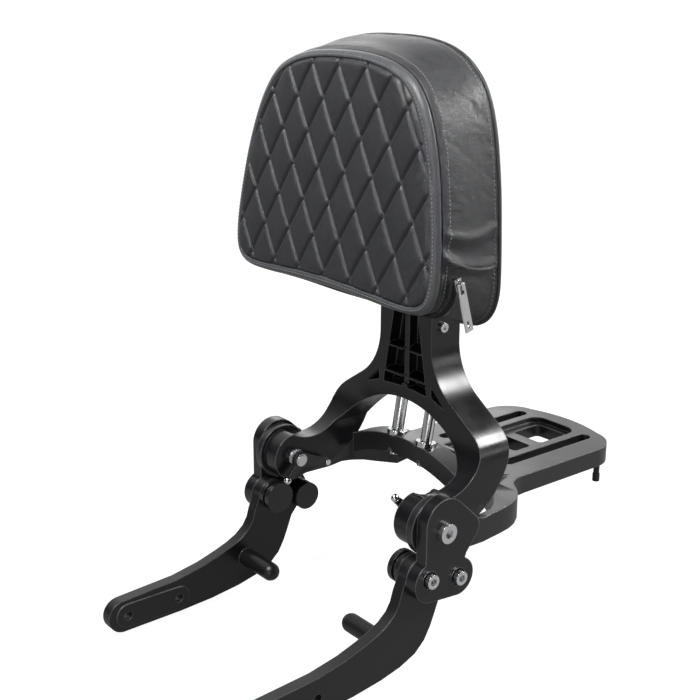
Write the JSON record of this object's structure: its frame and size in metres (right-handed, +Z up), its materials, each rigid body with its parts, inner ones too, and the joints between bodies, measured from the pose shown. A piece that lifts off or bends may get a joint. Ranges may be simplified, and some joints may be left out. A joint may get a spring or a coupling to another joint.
{
  "type": "motorcycle passenger backrest with luggage rack",
  "caption": "Quick-release passenger backrest: quilted pad on a forked cast mast, side plates with latch levers, slotted luggage rack, docking spools and curved bracket arms.",
  "frame": {"origin": "axis of the front bracket bolt holes, midway between the two bracket arms", "axes": "+X towards the rider's left, +Y towards the rear of the machine, so the quilted pad faces -Y, +Z up"},
  "size_m": [0.2972, 0.512, 0.5501],
  "materials": {
    "satin_black": "satin black coat on cast alloy",
    "rack_black": "satin black coat on cast alloy",
    "bracket_black": "black powder coat on steel",
    "spool_black": "satin black",
    "lever_black": "satin black",
    "bright_steel": "bright zinc",
    "polished_steel": "polished",
    "vinyl": "black grained vinyl",
    "zip_cloth": "woven tape with coil teeth",
    "foam": "open cell foam",
    "board_plastic": "moulded base board",
    "peg_rubber": "matt"
  },
  "bodies": {
    "frame": {"mast": "satin_black", "mast_screws": "bright_steel", "pad_board": "board_plastic", "pad_foam": "foam", "pad_cover": "vinyl", "pad_panel": "vinyl", "pad_border": "vinyl", "pad_bolts": "bright_steel", "zip_tape": "zip_cloth", "rack": "rack_black", "rack_pegs": "peg_rubber", "post_left": "polished_steel", "post_right": "polished_steel", "post_flanges": "polished_steel", "post_screws": "bright_steel", "plate_left": "satin_black", "plate_right": "satin_black", "pivot_bolts": "bright_steel", "pivot_nuts": "bright_steel", "spool_front_left": "spool_black", "spool_rear_left": "spool_black", "spool_front_right": "spool_black", "spool_rear_right": "spool_black", "dock_bolts": "bright_steel", "bracket_left": "bracket_black", "bracket_right": "bracket_black"},
    "latch_left": {"lever_left": "lever_black", "tips_left": "polished_steel"},
    "latch_right": {"lever_right": "lever_black", "tips_right": "polished_steel"},
    "slider": {"zip_slider": "bright_steel"},
    "pull": {"zip_pull": "bright_steel"}
  },
  "joints": [
    {"name": "latch_left_turn", "type": "hinge", "parent": "frame", "child": "latch_left", "pos_m": [0.0815, 0.186, 0.121], "axis": [-1, 0, 0], "range_deg": [0, 60]},
    {"name": "latch_right_turn", "type": "hinge", "parent": "frame", "child": "latch_right", "pos_m": [-0.0815, 0.186, 0.121], "axis": [-1, 0, 0], "range_deg": [0, 60]},
    {"name": "zip_travel", "type": "slide", "parent": "frame", "child": "slider", "axis": [0, 0.2756, -0.9613], "range_m": [0, 0.008]},
    {"name": "pull_swing", "type": "hinge", "parent": "slider", "child": "pull", "pos_m": [0.1497, 0.177, 0.347], "axis": [0, 0.9613, 0.2756], "range_deg": [-90, 0]}
  ]
}
